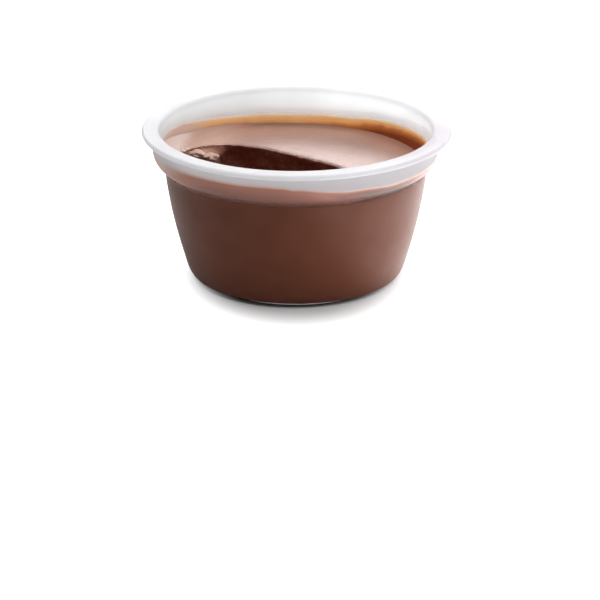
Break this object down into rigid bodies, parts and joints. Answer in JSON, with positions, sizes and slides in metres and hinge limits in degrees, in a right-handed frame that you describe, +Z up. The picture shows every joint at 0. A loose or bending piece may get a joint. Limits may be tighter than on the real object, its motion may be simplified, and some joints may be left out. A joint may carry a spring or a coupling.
{
  "type": "chocolate mousse in a pot",
  "caption": "Single-serving chocolate mousse in an open translucent pot with a flange rim and a stacking collar, with a spoonful scooped from its front left.",
  "frame": {"origin": "middle of the pot's foot, at table height", "axes": "+Z up along the pot's axis; -Y is the front, and the spoonful was taken towards -X and -Y"},
  "size_m": [0.076, 0.076, 0.0375],
  "materials": {
    "natural_polypropylene": "milky translucent, satin",
    "set_chocolate_mousse": "satin, aerated, moist"
  },
  "bodies": {
    "root": {"cup": "natural_polypropylene", "mousse": "set_chocolate_mousse"}
  },
  "joints": []
}
